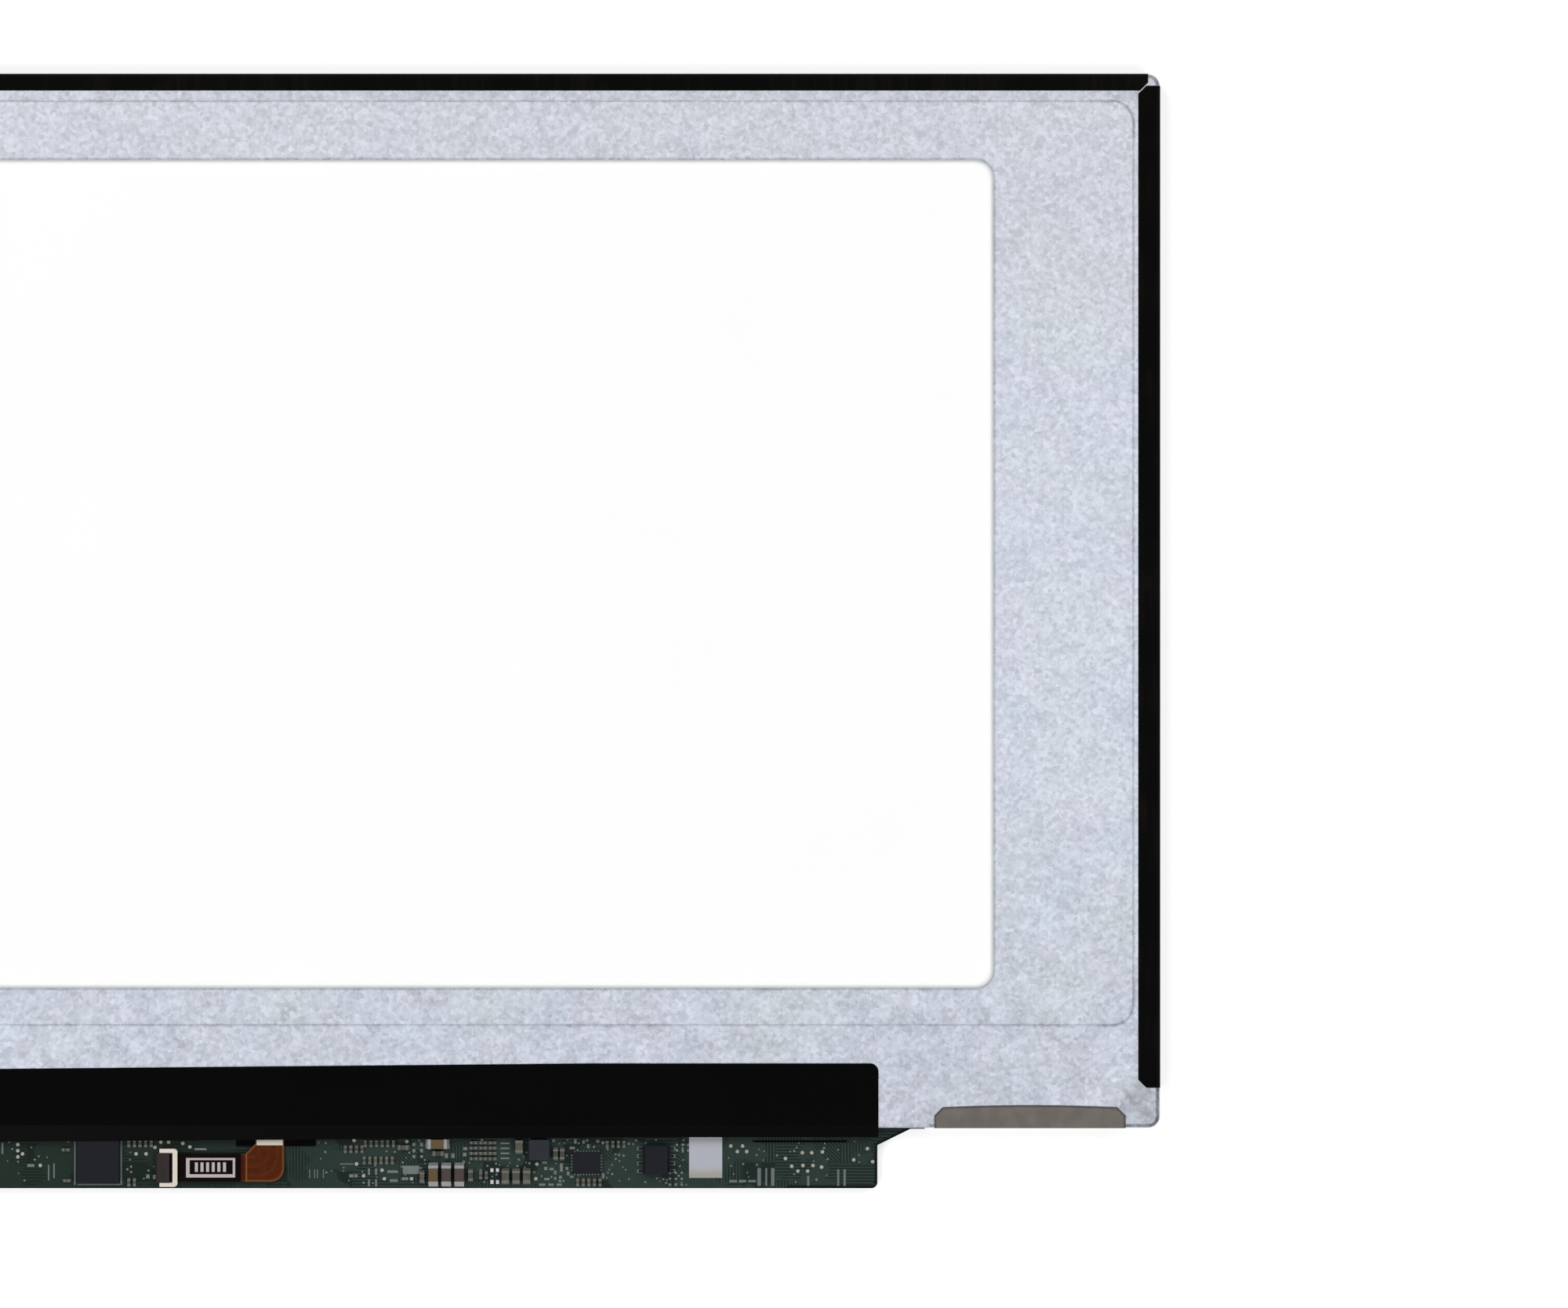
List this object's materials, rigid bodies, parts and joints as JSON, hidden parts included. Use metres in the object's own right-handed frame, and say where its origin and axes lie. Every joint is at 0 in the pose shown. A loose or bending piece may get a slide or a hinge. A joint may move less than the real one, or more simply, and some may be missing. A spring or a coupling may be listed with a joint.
{
  "type": "laptop screen panel",
  "caption": "Slim edge-lit LCD panel with a stamped steel back, a white reflector in its window, black edge tapes, a control board hung below and a flip-lock light bar connector.",
  "frame": {"origin": "display face (Z = 0), at the middle of the whole outline, board included", "axes": "+X along the long side and +Y up the short side as seen on the back, +Z out of the back; the panel lies on its display face"},
  "size_m": [0.3062, 0.1884, 0.0035],
  "materials": {
    "cover_steel": "galvanised sheet, pale grey with a fine spangle",
    "edge_tape": "black polyester tape, satin",
    "board_film": "black insulating film, satin",
    "ground_tape": "conductive tape, brown grey with a fine weave",
    "reflector_white": "white reflector film, satin",
    "optical_film": "translucent optical film",
    "light_guide": "clear acrylic",
    "panel_glass": "dark display glass",
    "polariser": "near-black polariser film, anti-glare",
    "frame_black": "black moulded polycarbonate",
    "rim_tape": "black double-sided tape",
    "board_green": "dark green solder mask",
    "flex_amber": "amber polyimide flex",
    "source_film": "brown polyimide film",
    "chip_black": "black moulding compound",
    "inductor_grey": "pressed iron powder, dark grey",
    "chip_ceramic": "tan ceramic with tinned ends",
    "led_white": "white LED package",
    "connector_white": "white moulded plastic",
    "connector_dark": "dark moulded plastic",
    "shell_metal": "tinned metal shell",
    "contact_metal": "gold-plated contacts",
    "label_white": "blank white label"
  },
  "bodies": {
    "panel": {"back_cover": "cover_steel", "mould_frame": "frame_black", "reflector_sheet": "reflector_white", "light_guide": "light_guide", "lower_diffuser": "optical_film", "lower_prism_sheet": "optical_film", "upper_prism_sheet": "optical_film", "upper_diffuser": "optical_film", "light_bar_flex": "flex_amber", "leds": "led_white", "rim_tape": "rim_tape", "rear_polariser": "polariser", "array_glass": "panel_glass", "colour_filter_glass": "panel_glass", "front_polariser": "polariser", "source_films": "source_film", "driver_chips": "chip_black", "control_board": "board_green", "timing_controller": "chip_black", "power_chip": "chip_black", "power_inductor": "inductor_grey", "memory_chip": "chip_black", "capacitors_1206": "chip_ceramic", "capacitors_0805": "chip_ceramic", "capacitors_0603": "chip_ceramic", "chips_0402": "chip_ceramic", "board_label": "label_white", "led_connector_housing": "connector_white", "led_connector_contacts": "contact_metal", "video_connector_housing": "connector_dark", "video_connector_shell": "shell_metal", "video_connector_contacts": "contact_metal", "top_edge_tape": "edge_tape", "right_edge_tape": "edge_tape", "left_edge_tape": "edge_tape", "ground_tape": "ground_tape", "board_cover_film": "board_film", "front_film": "board_film", "tail_tape": "label_white"},
    "flex_lock": {"led_connector_lock": "connector_dark"}
  },
  "joints": [
    {"name": "lock_flip", "type": "hinge", "parent": "panel", "child": "flex_lock", "pos_m": [-0.01465, -0.09069, 0.00218], "axis": [0, 1, 0], "range_deg": [0, 90]}
  ]
}
